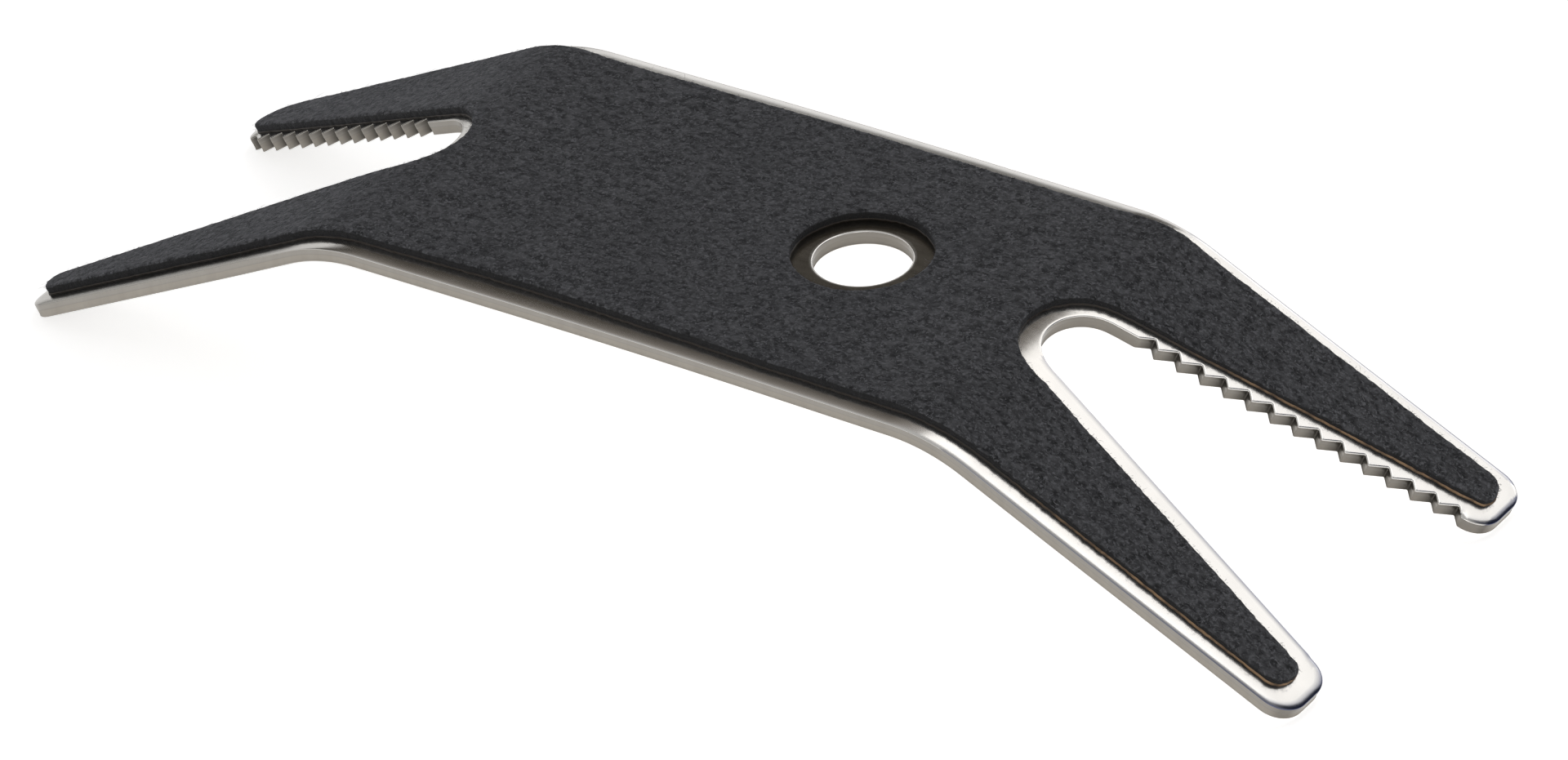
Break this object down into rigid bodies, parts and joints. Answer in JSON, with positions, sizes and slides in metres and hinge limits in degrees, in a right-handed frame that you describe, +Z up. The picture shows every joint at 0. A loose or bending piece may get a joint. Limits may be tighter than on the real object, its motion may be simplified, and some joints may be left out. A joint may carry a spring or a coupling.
{
  "type": "jaw spanner",
  "caption": "Flat spanner cranked down at both ends, with a wide V jaw in each end, one jaw edge toothed, a hanging hole and a soft suede sheet bonded to the convex face.",
  "frame": {"origin": "on the surface that the four prong tips stand on, under the middle of the plate", "axes": "+X along the plate towards the end nearer the hanging hole, +Y towards the toothed prongs, +Z up out of the convex, suede-covered face"},
  "size_m": [0.1524, 0.0446, 0.0222],
  "materials": {
    "steel": "satin, tumbled rim, blanked edges",
    "adhesive": "dull, brown at the edge",
    "suede": "short napped microfibre suede"
  },
  "bodies": {
    "root": {"steel_plate": "steel", "adhesive_film": "adhesive", "suede_backing": "suede"}
  },
  "joints": []
}
